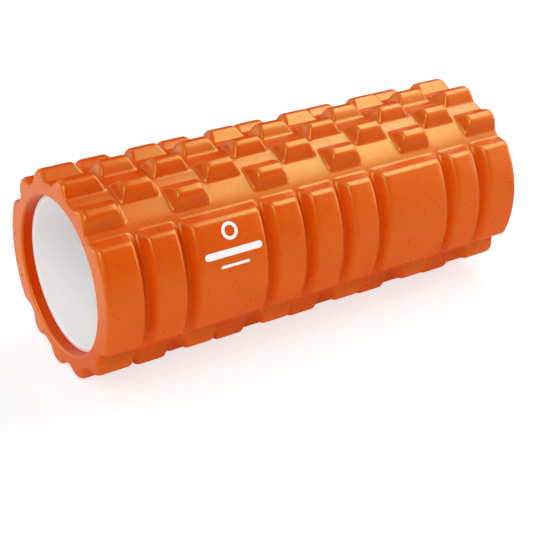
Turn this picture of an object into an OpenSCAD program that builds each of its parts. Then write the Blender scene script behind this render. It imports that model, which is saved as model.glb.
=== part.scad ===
// Hollow foam roller: a thick moulded foam sleeve bonded over a rigid plastic tube.
// The roller's axis lies along X and its centre is the origin.
// Bands of small blocks face +Z and -Z, and bands of long bars face +Y and -Y.
// The foam ends overhang the tube, so the tube's ends sit back inside the mouth of the sleeve.

/* [Foam sleeve] */
// Length of the foam sleeve, end face to end face
sleeve_len = 330; // [308:2:360]
// Diameter over the tops of the blocks and bars
sleeve_d = 137; // [132:1:145]
// Height of the blocks and bars above the valley floor
block_h = 7.5; // [4:0.5:9]
// Rounding of the outer edge at each end face
end_round = 4; // [2:0.5:5]
// Rounding of the mouth edge at each end face
mouth_round = 1.75; // [1:0.25:2.5]

/* [Pattern along the axis] */
// Gap left at the valley floor between a block and the edge of its column
base_inset = 1.5; // [1:0.25:2.5]
// Gap left at the top of a block to the edge of its column, more than at the floor for draft
top_inset = 5.5; // [4:0.25:7]

/* [Pattern round the circumference] */
// Angle between neighbouring rows of small blocks
row_pitch = 13; // [12.5:0.25:13.25]
// Angle a small block spans at the valley floor
block_base = 17.5; // [15:0.5:20]
// Angle a small block spans across its top
block_top = 6; // [4:0.5:8]
// Angle a long bar spans at the valley floor
bar_base = 73.5; // [68:0.5:76]
// Angle a long bar spans across its top
bar_top = 61; // [56:0.5:64]

/* [Core tube] */
// Outside diameter of the rigid tube
core_d = 104; // [100:1:106]
// Wall thickness of the rigid tube
core_wall = 3; // [2:0.25:4]
// Depth from the sleeve's end face to the end of the tube
core_recess = 7.5; // [4:0.5:12]
// Edge break on the cut ends of the tube
core_chamfer = 0.5; // [0.25:0.25:0.75]

/* [Bonding and print] */
// Thickness of the adhesive film between tube and foam
film_t = 0.15; // [0.1:0.05:0.3]
// Thickness of the white print on the wide bar
print_t = 0.15; // [0.1:0.05:0.3]
// Outside diameter of the ring in the print
ring_d = 11.5; // [8:0.5:12]
// Line width of the ring in the print
ring_line = 2.2; // [1.5:0.1:3]
// Length of the long bar in the print
long_bar_len = 42; // [30:1:46]
// Width of the long bar in the print
long_bar_w = 4.5; // [3:0.5:6]
// Length of the short bar in the print
short_bar_len = 21; // [12:1:28]
// Width of the short bar in the print
short_bar_w = 1.8; // [1.2:0.2:2.4]

/* [Hidden] */
$fn = 96;
columns = 11;
column_w = sleeve_len / columns;
end_x = sleeve_len / 2;
outer_r = sleeve_d / 2;
floor_r = outer_r - block_h;
core_r = core_d / 2;
core_bore_r = core_r - core_wall;
core_len = sleeve_len - 2 * core_recess;
bore_r = core_r + film_t;
rows_each_side = 3;
root_depth = 1.5;
spare = 2;
// Column edges at which one long bar ends and the next begins: two of the nine bars are double width.
bar_edges = [0, 1, 2, 4, 5, 6, 7, 9, 10, 11];
// The print sits on the wide bar that spans columns two to four, above its middle.
print_x = 3 * column_w - end_x;
ring_angle = 66.5;
long_bar_angle = 77.5;
short_bar_angle = 84.5;

// Turns a shape drawn along Z so that it lies along the roller's axis.
module along_axis() {
    rotate([0, 90, 0]) children();
}

function polar(r, a) = [r * cos(a), r * sin(a)];

// Half the angle a drafted block spans at radius r.
function half_angle(r, base, top) = base / 2 + (base - top) / 2 * (floor_r - r) / block_h;

// X position of the edge of a column.
function column_x(n) = n * column_w - end_x;

// Ring-shaped body of the given radii and length, centred on the origin.
module tube(outside, inside, len) {
    along_axis() difference() {
        cylinder(r = outside, h = len, center = true);
        cylinder(r = inside, h = len + 2 * spare, center = true);
    }
}

// Cross-section of one drafted row, centred on angle a.
module row_section(a, base, top) {
    low_r = floor_r - root_depth;
    high_r = outer_r + root_depth;
    low = half_angle(low_r, base, top);
    high = half_angle(high_r, base, top);
    polygon([
        polar(low_r, a - low),
        polar(high_r, a - high),
        polar(high_r / cos(high), a),
        polar(high_r, a + high),
        polar(low_r, a + low)
    ]);
}

// Drafted rows running the whole length, at the listed angles on both sides of the roller.
module long_rows(angles, base, top) {
    along_axis() linear_extrude(height = sleeve_len + 2 * spare, center = true) {
        for (side = [0, 180], a = angles) {
            row_section(side + a, base, top);
        }
    }
}

// Position of one drafted flank of a rib. A flank at an end face stands past it instead.
function flank(n, side, inset) =
    n == 0 || n == columns ? column_x(n) - side * spare : column_x(n) + side * inset;

// Section of one rib that runs round the sleeve from column edge n0 to column edge n1.
module rib_section(n0, n1) {
    low_r = floor_r - root_depth;
    low_inset = base_inset - (top_inset - base_inset) * root_depth / block_h;
    polygon([
        [low_r, flank(n0, 1, low_inset)],
        [outer_r, flank(n0, 1, top_inset)],
        [outer_r, flank(n1, -1, top_inset)],
        [low_r, flank(n1, -1, low_inset)]
    ]);
}

// Blocks of one checkerboard colour: every second column, starting at the given one.
module block_set(first_column, angles) {
    intersection() {
        long_rows(angles, block_base, block_top);
        along_axis() rotate_extrude() {
            for (n = [first_column : 2 : columns - 1]) {
                rib_section(n, n + 1);
            }
        }
    }
}

// Long bars on the front and back of the roller.
module bar_set() {
    intersection() {
        long_rows([90], bar_base, bar_top);
        along_axis() rotate_extrude() {
            for (n = [0 : len(bar_edges) - 2]) {
                rib_section(bar_edges[n], bar_edges[n + 1]);
            }
        }
    }
}

// Half section of the plain sleeve with its four rounded end edges.
module sleeve_section() {
    low_r = bore_r + mouth_round;
    high_r = outer_r - end_round;
    translate([low_r, -end_x]) square([high_r - low_r, sleeve_len]);
    translate([bore_r, mouth_round - end_x]) {
        square([high_r - bore_r, sleeve_len - 2 * mouth_round]);
    }
    translate([bore_r, end_round - end_x]) {
        square([outer_r - bore_r, sleeve_len - 2 * end_round]);
    }
    for (side = [-1, 1]) {
        translate([low_r, side * (end_x - mouth_round)]) circle(r = mouth_round);
        translate([high_r, side * (end_x - end_round)]) circle(r = end_round);
    }
}

// Moulded foam sleeve with its blocks and bars in one piece.
module foam_sleeve() {
    color([0.84, 0.36, 0.12]) intersection() {
        union() {
            tube(floor_r, bore_r - spare, sleeve_len + 2 * spare);
            // The outer, middle and inner rows of one colour, then the rows between them.
            block_set(0, [-3, -1, 1, 3] * row_pitch);
            block_set(1, [-2, 0, 2] * row_pitch);
            bar_set();
        }
        along_axis() rotate_extrude() sleeve_section();
    }
}

// Rigid tube that carries the load, with its cut ends lightly broken.
module core_tube() {
    half = core_len / 2;
    color([0.95, 0.95, 0.94]) along_axis() rotate_extrude() polygon([
        [core_bore_r + core_chamfer, -half],
        [core_r - core_chamfer, -half],
        [core_r, core_chamfer - half],
        [core_r, half - core_chamfer],
        [core_r - core_chamfer, half],
        [core_bore_r + core_chamfer, half],
        [core_bore_r, half - core_chamfer],
        [core_bore_r, core_chamfer - half]
    ]);
}

// Film of contact adhesive that holds the sleeve on the tube.
module adhesive_film() {
    color([0.85, 0.78, 0.55]) tube(bore_r, core_r, core_len - 2 * core_chamfer);
}

// Turns a flat shape so that it is thrown onto the wide front bar at the given angle from the top.
module on_front_bar(a) {
    translate([print_x, 0, 0]) rotate([a, 0, 0]) {
        linear_extrude(height = outer_r + spare) children();
    }
}

// Flat bar with round ends.
module round_bar(len, w) {
    square([len - w, w], center = true);
    for (side = [-1, 1]) {
        translate([side * (len - w) / 2, 0]) circle(d = w);
    }
}

// Thin white print of three plain shapes: a ring, a long bar and a short bar.
module printed_mark() {
    color([1, 1, 1]) intersection() {
        tube(outer_r + print_t, outer_r, sleeve_len);
        union() {
            on_front_bar(ring_angle) difference() {
                circle(d = ring_d);
                circle(d = ring_d - 2 * ring_line);
            }
            on_front_bar(long_bar_angle) round_bar(long_bar_len, long_bar_w);
            on_front_bar(short_bar_angle) round_bar(short_bar_len, short_bar_w);
        }
    }
}

foam_sleeve();
core_tube();
adhesive_film();
printed_mark();
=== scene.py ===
"""Looks for the foam roller: moulded foam sleeve, rigid tube and white print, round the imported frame."""

import math

import bpy
import numpy as np
from mathutils import Matrix, Vector


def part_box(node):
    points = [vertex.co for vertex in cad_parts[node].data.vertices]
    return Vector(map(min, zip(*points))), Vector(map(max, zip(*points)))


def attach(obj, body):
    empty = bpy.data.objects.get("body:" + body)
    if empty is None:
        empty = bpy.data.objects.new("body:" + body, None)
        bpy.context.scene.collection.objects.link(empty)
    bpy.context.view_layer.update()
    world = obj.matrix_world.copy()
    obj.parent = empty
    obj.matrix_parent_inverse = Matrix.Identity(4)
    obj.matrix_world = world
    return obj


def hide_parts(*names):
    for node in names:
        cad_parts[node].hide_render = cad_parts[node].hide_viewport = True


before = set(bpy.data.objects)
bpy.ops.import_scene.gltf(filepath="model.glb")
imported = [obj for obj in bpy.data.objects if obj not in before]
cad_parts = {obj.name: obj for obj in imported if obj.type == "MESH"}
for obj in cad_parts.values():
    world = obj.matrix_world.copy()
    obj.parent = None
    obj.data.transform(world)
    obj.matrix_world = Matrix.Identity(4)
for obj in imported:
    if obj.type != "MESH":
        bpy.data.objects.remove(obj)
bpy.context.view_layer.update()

MM = 0.001

# ---- Sizes read from the frame ------------------------------------------------------------
SLEEVE_LOW, SLEEVE_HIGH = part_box("foam_sleeve")
FILM_LOW, FILM_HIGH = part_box("adhesive_film")
END_X = SLEEVE_HIGH.x
OUTER_R = (SLEEVE_HIGH.y - SLEEVE_LOW.y) / 2
BORE_R = (FILM_HIGH.z - FILM_LOW.z) / 2

# ---- The moulded pattern, as in the CAD source ------------------------------------------------
BLOCK_H = 7.5 * MM
FLOOR_R = OUTER_R - BLOCK_H
COLUMNS = 11
COLUMN_W = 2 * END_X / COLUMNS
BASE_INSET = 1.5 * MM
TOP_INSET = 5.5 * MM
ROW_PITCH = math.radians(13)
ROWS_EACH_SIDE = 3
BLOCK_BASE = math.radians(17.5) / 2
BLOCK_TOP = math.radians(5.5) / 2  # a quarter of a degree less on each side than in the CAD
BAR_BASE = math.radians(73.5) / 2
BAR_TOP = math.radians(61) / 2
BAR_EDGES = (0, 1, 2, 4, 5, 6, 7, 9, 10, 11)

# ---- Roundings that the CAD leaves sharp ------------------------------------------------------
TOP_SOFT = 2.4 * MM   # height over which a flank rolls over into a block's top
FOOT_SOFT = 1.3 * MM  # height over which a flank runs out into the valley floor
# Height over which two flanks merge at a corner, at its foot and at its top
BLOCK_CORNER = (4.6 * MM, 1.8 * MM)
BAR_CORNER = (6.0 * MM, 2.4 * MM)
# Rounding at the end faces, over the tops and over the valleys
BLOCK_END_ROUND = 4 * MM
FLOOR_END_ROUND = 1.6 * MM
MOUTH_ROUND = 1.75 * MM

FAR = 10 * BLOCK_H  # higher than any flank reaches
INSIDE = -1.0       # marks the wall inside the mouth, where elsewhere a share of the block's height stands


def soft_min(a, b, k):
    """The smaller of a and b, with the corner between them rounded over a difference of k."""
    t = np.clip(0.5 + 0.5 * (b - a) / k, 0, 1)
    return b * (1 - t) + a * t - k * t * (1 - t)


def soft_max(a, b, k):
    return -soft_min(-a, -b, k)


def column_x(n):
    return n * COLUMN_W - END_X


def along_height(x, first, last):
    """Height allowed by the two flanks across the axis, for a block from one column edge to another."""
    run = TOP_INSET - BASE_INSET
    height = np.full_like(x, FAR)
    if first > 0:
        height = np.minimum(height, (x - column_x(first) - BASE_INSET) / run * BLOCK_H)
    if last < COLUMNS:
        height = np.minimum(height, (column_x(last) - x - BASE_INSET) / run * BLOCK_H)
    return height


def around_height(angle, centre, base, top):
    """Height allowed by the two flanks that face round the circumference."""
    away = np.abs((angle - centre + math.pi) % (2 * math.pi) - math.pi)
    return (base - away) / (base - top) * BLOCK_H


def block_height(along, around, corner):
    """Two pairs of flanks merged, with corners that are crisp near the top and rounder at the foot."""
    share = np.clip(np.minimum(along, around) / BLOCK_H, 0, 1)
    return soft_min(along, around, corner[0] + (corner[1] - corner[0]) * share)


def relief(x, angle):
    """Height of the moulded surface above the valley floor.

    Angle 0 is the roller's top, and pi/2 its front.
    """
    raised = np.full_like(x, -FAR)
    for side in (0, math.pi):
        for row in range(-ROWS_EACH_SIDE, ROWS_EACH_SIDE + 1):
            first = (row + ROWS_EACH_SIDE) % 2
            across = around_height(angle, side + row * ROW_PITCH, BLOCK_BASE, BLOCK_TOP)
            for column in range(first, COLUMNS, 2):
                along = along_height(x, column, column + 1)
                raised = np.maximum(raised, block_height(along, across, BLOCK_CORNER))
    for side in (math.pi / 2, -math.pi / 2):
        across = around_height(angle, side, BAR_BASE, BAR_TOP)
        for first, last in zip(BAR_EDGES, BAR_EDGES[1:]):
            raised = np.maximum(raised, block_height(along_height(x, first, last), across, BAR_CORNER))
    return soft_max(soft_min(raised, BLOCK_H, TOP_SOFT), 0, FOOT_SOFT)


# ---- Mesh of the sleeve -----------------------------------------------------------------------
FINE_X, COARSE_X = 0.95 * MM, 4 * MM
FINE_TURN, COARSE_TURN = math.radians(0.72), math.radians(2.5)
FLANK_X = TOP_INSET + 1.6 * MM      # how far from a column's edge the mesh stays fine along the axis
FLANK_TURN = math.radians(2)        # how far onto a bar's top it stays fine round the roller
END_ROUND_RINGS = 8
END_FACE_RINGS = (0.06, 0.5, 0.94)  # shares of the way in from the rim to the mouth
MOUTH_ROUND_RINGS = 6
WALL_RINGS = (3 * MM, 9 * MM)       # depths inside the mouth, the second hidden by the tube
END_STRETCH = 10 * MM               # length at an end over which the rings spread to meet its rounding


def spaced(start, stop, step):
    """Evenly spaced values from start up to but not including stop, no further apart than step."""
    count = max(1, math.ceil((stop - start) / step))
    return np.linspace(start, stop, count, endpoint=False)


def sleeve_x_lines():
    """Places along the axis, close together over the flanks and wide apart over the flat tops."""
    lines = []
    for n in range(COLUMNS):
        left, right = column_x(n), column_x(n + 1)
        lines.append(spaced(left, left + FLANK_X, FINE_X))
        lines.append(spaced(left + FLANK_X, right - FLANK_X, COARSE_X))
        lines.append(spaced(right - FLANK_X, right, FINE_X))
    lines.append([END_X])
    x = np.concatenate(lines)
    inner = END_X - BLOCK_END_ROUND
    return x[(x > -inner) & (x < inner)]


def sleeve_angles():
    """Angles round the roller, close together over the blocks and the bars' long flanks."""
    flat = math.pi / 2 - BAR_TOP + FLANK_TURN
    quarter = np.concatenate([spaced(0, flat, FINE_TURN), spaced(flat, math.pi / 2, COARSE_TURN)])
    back = math.pi - np.concatenate([quarter[1:], [math.pi / 2]])[::-1]
    half = np.concatenate([quarter, back])
    return np.concatenate([half, half + math.pi])


def sleeve_profile(x_lines, angles):
    """Rings of points round the sleeve, from inside one mouth over the outside to inside the other.

    Each ring is its points' x, radius and height above the valley floor.
    """
    inner = END_X - BLOCK_END_ROUND
    ends = []
    xx, aa = np.meshgrid(x_lines, angles, indexing="ij")
    height = relief(xx, aa)
    inside = np.full_like(angles, INSIDE * BLOCK_H)
    for side in (-1, 1):
        rim = relief(np.full_like(angles, side * inner), angles)
        share = rim / BLOCK_H
        rounding = FLOOR_END_ROUND + (BLOCK_END_ROUND - FLOOR_END_ROUND) * share
        stretch = np.clip((side * xx - (inner - END_STRETCH)) / END_STRETCH, 0, 1)
        xx = xx + side * stretch * (BLOCK_END_ROUND - rounding)[None, :]
        rings = []
        for turn in np.linspace(0, math.pi / 2, END_ROUND_RINGS):
            rings.append((
                side * (END_X - rounding * (1 - math.sin(turn))),
                FLOOR_R + rim - rounding * (1 - math.cos(turn)),
                rim,
            ))
        face_low = BORE_R + MOUTH_ROUND
        face_high = FLOOR_R + rim - rounding
        for share_in in END_FACE_RINGS:
            radius = face_high + (face_low - face_high) * share_in
            rings.append((np.full_like(angles, side * END_X), radius, rim))
        for n, turn in enumerate(np.linspace(0, math.pi / 2, MOUTH_ROUND_RINGS)):
            last = n == MOUTH_ROUND_RINGS - 1
            rings.append((
                np.full_like(angles, side * (END_X - MOUTH_ROUND * (1 - math.cos(turn)))),
                np.full_like(angles, face_low - MOUTH_ROUND * math.sin(turn)),
                inside if last else rim,
            ))
        for depth in WALL_RINGS:
            x = np.full_like(angles, side * (END_X - depth))
            rings.append((x, np.full_like(angles, BORE_R), inside))
        ends.append(rings)
    outer = [(xx[i], FLOOR_R + height[i], height[i]) for i in range(len(x_lines))]
    return ends[0][::-1] + outer + ends[1]


def build_sleeve():
    angles = sleeve_angles()
    rings = sleeve_profile(sleeve_x_lines(), angles)
    x = np.array([r[0] for r in rings])
    radius = np.array([r[1] for r in rings])
    height = np.array([r[2] for r in rings])
    sweep = np.broadcast_to(angles, x.shape)
    points = np.stack([x, -radius * np.sin(sweep), radius * np.cos(sweep)], -1).reshape(-1, 3)
    n_rings, n_around = x.shape
    ring, around = np.meshgrid(np.arange(n_rings), np.arange(n_around), indexing="ij")
    here = ring * n_around + around
    beside = ring * n_around + (around + 1) % n_around
    next_here = (ring + 1) % n_rings * n_around + around
    next_beside = (ring + 1) % n_rings * n_around + (around + 1) % n_around
    faces = np.stack([here, beside, next_beside, next_here], -1).reshape(-1, 4)
    mesh = bpy.data.meshes.new("sleeve")
    mesh.from_pydata(points.tolist(), [], faces.tolist())
    mesh.shade_smooth()
    attribute = mesh.attributes.new("relief", "FLOAT", "POINT")
    attribute.data.foreach_set("value", (height / BLOCK_H).astype(np.float32).ravel())
    piece = bpy.data.objects.new("moulded_sleeve", mesh)
    bpy.context.scene.collection.objects.link(piece)
    return piece


# ---- Materials --------------------------------------------------------------------------------
def srgb(r, g, b):
    """A colour given as it shows on a screen, from 0 to 255, as Blender's linear colour."""
    def linear(c):
        c = c / 255
        return c / 12.92 if c <= 0.04045 else ((c + 0.055) / 1.055) ** 2.4
    return (linear(r), linear(g), linear(b), 1)


FOAM_LOW, FOAM_HIGH = srgb(223, 79, 1), srgb(227, 83, 2)  # the two oranges of the mottling
FOAM_GRAIN = srgb(234, 94, 10)
# Painted shade: a darker, redder orange that stands in for the shade on the valley floors between the blocks
FOAM_VALLEY_PAINTED_SHADE = srgb(220, 69, 0)
# Painted shade: a still darker orange for the recessed wall inside the mouth
FOAM_MOUTH_PAINTED_SHADE = srgb(204, 47, 0)
FOAM_SHEEN = (0.65, 1, 0.25, 1)  # tint of what the skin reflects
# Distances above or below the axis over which the grooves between the bars turn from dull to shiny
GROOVE_Z = (26 * MM, 33 * MM)
GROOVE_SHINE = 0.3  # how shiny a groove's dull part is, against the valleys
INSIDE_SHINE = 0.3  # the same for the wall inside the mouth


class Nodes:
    """Short ways to add and join shader nodes in one material."""

    def __init__(self, name):
        self.material = bpy.data.materials.new(name)
        self.material.use_nodes = True
        self.tree = self.material.node_tree
        self.shader = self.tree.nodes["Principled BSDF"]
        self.place = self.add("ShaderNodeTexCoord").outputs["Object"]

    def add(self, kind, **inputs):
        node = self.tree.nodes.new(kind)
        for key, value in inputs.items():
            self.put(node.inputs[key], value)
        return node

    def put(self, socket, value):
        if isinstance(value, bpy.types.NodeSocket):
            self.tree.links.new(value, socket)
        else:
            socket.default_value = value

    def set(self, name, value):
        self.put(self.shader.inputs[name], value)

    def noise(self, scale, detail=4.0, place=None):
        node = self.add("ShaderNodeTexNoise", Scale=scale, Detail=detail, Roughness=0.55)
        self.put(node.inputs["Vector"], place or self.place)
        return node.outputs["Fac"]

    def ramp(self, value, low, high, to_low, to_high):
        """value moved from the range low to high into the range to_low to to_high."""
        node = self.add("ShaderNodeMapRange")
        node.interpolation_type = "SMOOTHSTEP"
        for index, number in enumerate((value, low, high, to_low, to_high)):
            self.put(node.inputs[index], number)
        return node.outputs["Result"]

    def mix(self, share, a, b):
        """Colour a where share is 0, and colour b where it is 1."""
        node = self.add("ShaderNodeMix")
        node.data_type = "RGBA"
        # The node has sockets of the same names for other kinds of data, so these go by number
        colour_a, colour_b, colour = node.inputs[6], node.inputs[7], node.outputs[2]
        self.put(node.inputs["Factor"], share)
        self.put(colour_a, a)
        self.put(colour_b, b)
        return colour

    def maths(self, operation, a, b=0.0):
        node = self.add("ShaderNodeMath")
        node.operation = operation
        self.put(node.inputs[0], a)
        self.put(node.inputs[1], b)
        return node.outputs[0]

    def bump(self, height, strength, distance):
        node = self.add("ShaderNodeBump", Strength=strength, Distance=distance, Height=height)
        return node.outputs["Normal"]


def foam_material():
    """Moulded closed-cell foam: a satin skin with a fine grain and faint mottling, and painted shade that
    darkens the valleys and the wall inside the mouth.
    """
    n = Nodes("foam_skin")
    height = n.add("ShaderNodeAttribute")
    height.attribute_name = "relief"
    share = height.outputs["Fac"]
    base = n.mix(n.ramp(n.noise(28, 5), 0.35, 0.65, 0, 1), FOAM_LOW, FOAM_HIGH)
    base = n.mix(n.ramp(n.noise(900, 3), 0.55, 0.8, 0, 0.15), base, FOAM_GRAIN)
    # Painted shade: the valley floors take up to 30 per cent of the darker orange, more the lower they lie
    base = n.mix(n.ramp(share, 0, 1, 0.3, 0), base, FOAM_VALLEY_PAINTED_SHADE)
    # Painted shade: the wall inside the mouth takes up to three quarters of the darker orange
    base = n.mix(n.ramp(share, INSIDE, 0, 0.75, 0), base, FOAM_MOUTH_PAINTED_SHADE)
    n.set("Base Color", base)
    n.set("Roughness", n.ramp(n.noise(160, 6), 0.3, 0.7, 0.27, 0.33))
    across = n.add("ShaderNodeSeparateXYZ")
    n.put(across.inputs["Vector"], n.place)
    beside_bars = n.ramp(n.maths("ABSOLUTE", across.outputs["Z"]), GROOVE_Z[0], GROOVE_Z[1], 0, 1)
    groove = n.maths("MAXIMUM", beside_bars, n.ramp(share, 0.05, 0.6, GROOVE_SHINE, 1))
    n.set("Specular IOR Level", n.maths("MULTIPLY", groove, n.ramp(share, INSIDE, 0, INSIDE_SHINE, 1)))
    n.set("IOR", 1.56)
    n.set("Specular Tint", FOAM_SHEEN)
    n.set("Normal", n.bump(n.noise(1400, 3), 0.06, 0.00006))
    return n.material


def tube_material():
    """Smooth white extruded plastic with faint lines along its length."""
    n = Nodes("white_plastic")
    stretch = n.add("ShaderNodeMapping")
    n.put(stretch.inputs["Vector"], n.place)
    stretch.inputs["Scale"].default_value = (0.03, 1, 1)
    lines = n.noise(500, 3, place=stretch.outputs["Vector"])
    n.set("Base Color", n.mix(n.ramp(n.noise(20), 0.4, 0.6, 0, 1), srgb(249, 249, 249), srgb(252, 252, 252)))
    n.set("Roughness", n.ramp(lines, 0.3, 0.7, 0.32, 0.42))
    n.set("Normal", n.bump(lines, 0.08, 0.0001))
    return n.material


def print_material():
    """Matte white transfer print, very slightly uneven."""
    n = Nodes("white_print")
    unevenness = n.ramp(n.noise(700), 0.35, 0.65, 0, 1)
    n.set("Base Color", n.mix(unevenness, srgb(244, 243, 241), srgb(250, 250, 249)))
    n.set("Roughness", n.ramp(n.noise(400), 0.3, 0.7, 0.5, 0.6))
    n.set("Normal", n.bump(n.noise(1200), 0.1, 0.00008))
    return n.material


def adhesive_material():
    """Dry amber contact adhesive."""
    n = Nodes("dry_adhesive")
    n.set("Base Color", n.mix(n.noise(300), srgb(214, 190, 130), srgb(198, 168, 104)))
    n.set("Roughness", 0.35)
    n.set("Normal", n.bump(n.noise(500), 0.3, 0.0002))
    return n.material


def give(obj, material):
    obj.data.materials.clear()
    obj.data.materials.append(material)


# ---- Build ------------------------------------------------------------------------------------
sleeve = build_sleeve()
give(sleeve, foam_material())
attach(sleeve, "root")
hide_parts("foam_sleeve")

give(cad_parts["core_tube"], tube_material())
give(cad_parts["adhesive_film"], adhesive_material())
give(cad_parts["printed_mark"], print_material())

# ---- Stage: floor, light and camera -----------------------------------------------------------
CAMERA_TURN = math.radians(33.78)    # how far the camera stands round from the front, towards the left end
CAMERA_RISE = math.radians(22.88)
CAMERA_ROLL = math.radians(-2.19)
CAMERA_AWAY = 0.9119
AIM_RIGHT, AIM_UP = -0.0003, -0.04  # the aim point from the roller's centre, across and up the picture
SENSOR = 36.0
LENS = 86.15
KEY_AWAY = 1.3
# Two soft boxes at the right: degrees from the front towards the right, degrees up, width, height and power
KEYS = (
    ("upper_soft_box", 86, 54, 1.1, 0.52, 7.4),
    ("lower_soft_box", 92, 32, 1.3, 0.4, 1.0),
)
SPREAD = math.radians(28)      # half the width of one glow of the studio's walls
FLOOR_HALF = 6.0               # half the floor's width
FLOOR_SEEN = (0.35, 0.72)      # the floor's grey and its glow for the camera, near white with a soft shadow
FLOOR_LIGHT = 0.4              # glow of the floor that lights the roller from below
FLOOR_REFLECTED = (0.12, 0.9)  # how pale the floor is in reflections, in front of the roller and behind it
FLOOR_BLEND = 0.1              # half the width of the band under the roller where one turns into the other
# The glows of the studio's walls: degrees from the front towards the right, degrees up, and strength
GLOWS = (
    (66, 5, 1.8),
    (90, 5, 1.7),
    (225, 5, 2.4),
    (248, 5, 0.6),
    (66, 26, 0.8),
    (186, 26, 0.7),
    (306, 26, 0.9),
    (90, 47, 0.7),
    (225, 47, 0.6),
    (270, 47, 0.5),
    (315, 47, 3.4),
    (195, 70, 0.6),
)


def direction(turn, rise):
    """The way to something, by its angle round from the front towards the right and its angle up."""
    return Vector((math.sin(turn) * math.cos(rise), -math.cos(turn) * math.cos(rise), math.sin(rise)))


def build_floor():
    mesh = bpy.data.meshes.new("floor")
    sides = ((-1, -1), (1, -1), (1, 1), (-1, 1))
    corners = [(x * FLOOR_HALF, y * FLOOR_HALF, SLEEVE_LOW.z) for x, y in sides]
    mesh.from_pydata(corners, [], [(0, 1, 2, 3)])
    floor = bpy.data.objects.new("floor", mesh)
    bpy.context.scene.collection.objects.link(floor)
    n = Nodes("pale_floor")
    path = n.add("ShaderNodeLightPath")
    along = n.add("ShaderNodeSeparateXYZ")
    n.put(along.inputs["Vector"], n.place)
    front, back = ((grey, grey, grey, 1) for grey in FLOOR_REFLECTED)
    grey, glow = FLOOR_SEEN
    white = n.mix(n.noise(3), srgb(246, 246, 246), srgb(250, 250, 250))
    reflected = n.mix(n.ramp(along.outputs["Y"], -FLOOR_BLEND, FLOOR_BLEND, 0, 1), front, back)
    white = n.mix(path.outputs["Is Glossy Ray"], white, reflected)
    n.set("Base Color", n.mix(path.outputs["Is Camera Ray"], white, (grey, grey, grey, 1)))
    n.set("Roughness", 0.9)
    n.set("Specular IOR Level", 0.1)
    n.set("Emission Color", (1, 1, 1, 1))
    light = n.ramp(path.outputs["Is Diffuse Ray"], 0, 1, 0, FLOOR_LIGHT)
    seen = n.ramp(path.outputs["Is Camera Ray"], 0, 1, 0, glow)
    n.set("Emission Strength", n.maths("ADD", light, seen))
    n.material.cycles.emission_sampling = "NONE"
    give(floor, n.material)


def build_keys():
    for name, turn, rise, width, height, power in KEYS:
        lamp = bpy.data.lights.new(name, "AREA")
        lamp.shape = "RECTANGLE"
        lamp.size, lamp.size_y = width, height
        lamp.energy = power
        obj = bpy.data.objects.new(name, lamp)
        bpy.context.scene.collection.objects.link(obj)
        place = direction(math.radians(turn), math.radians(rise)) * KEY_AWAY
        obj.location = place
        obj.rotation_euler = (-place).to_track_quat("-Z", "Y").to_euler()


def build_camera():
    back = Vector((
        -math.sin(CAMERA_TURN) * math.cos(CAMERA_RISE),
        -math.cos(CAMERA_TURN) * math.cos(CAMERA_RISE),
        math.sin(CAMERA_RISE),
    ))
    right = (-back).cross(Vector((0, 0, 1))).normalized()
    up = right.cross(-back)
    place = right * AIM_RIGHT + up * AIM_UP + back * CAMERA_AWAY
    turned_right = right * math.cos(CAMERA_ROLL) + up * math.sin(CAMERA_ROLL)
    turned_up = up * math.cos(CAMERA_ROLL) - right * math.sin(CAMERA_ROLL)
    data = bpy.data.cameras.new("camera")
    data.sensor_width = SENSOR
    data.lens = LENS
    camera = bpy.data.objects.new("camera", data)
    bpy.context.scene.collection.objects.link(camera)
    turned = Matrix((turned_right, turned_up, back)).transposed().to_4x4()
    camera.matrix_world = Matrix.Translation(place) @ turned
    bpy.context.scene.camera = camera


def build_world():
    """A pale studio with soft glows on its walls, which light the roller and show in its sheen."""
    world = bpy.data.worlds.new("studio")
    bpy.context.scene.world = world
    world.use_nodes = True
    tree = world.node_tree

    def link(kind, operation, *values):
        node = tree.nodes.new(kind)
        if operation:
            node.operation = operation
        for socket, value in zip(node.inputs, values):
            if isinstance(value, bpy.types.NodeSocket):
                tree.links.new(value, socket)
            elif value is not None:
                socket.default_value = value
        return node

    path = tree.nodes.new("ShaderNodeLightPath")
    place = tree.nodes.new("ShaderNodeTexCoord").outputs["Generated"]
    level = 0.0
    for turn, rise, strength in GLOWS:
        aim = direction(math.radians(turn), math.radians(rise))
        near = link("ShaderNodeVectorMath", "DOT_PRODUCT", place, aim).outputs["Value"]
        glow = link("ShaderNodeMapRange", None, near, math.cos(SPREAD), 1.0, 0.0, 1.0)
        glow.interpolation_type = "SMOOTHSTEP"
        level = link("ShaderNodeMath", "MULTIPLY_ADD", glow.outputs["Result"], strength, level).outputs[0]
    level = link("ShaderNodeMix", None, path.outputs["Is Camera Ray"], None, level, 1.0).outputs[0]
    background = tree.nodes["Background"]
    background.inputs["Color"].default_value = (1, 1, 1, 1)
    tree.links.new(level, background.inputs["Strength"])


build_floor()
build_world()
build_keys()
build_camera()
bpy.context.scene.view_settings.view_transform = "Standard"
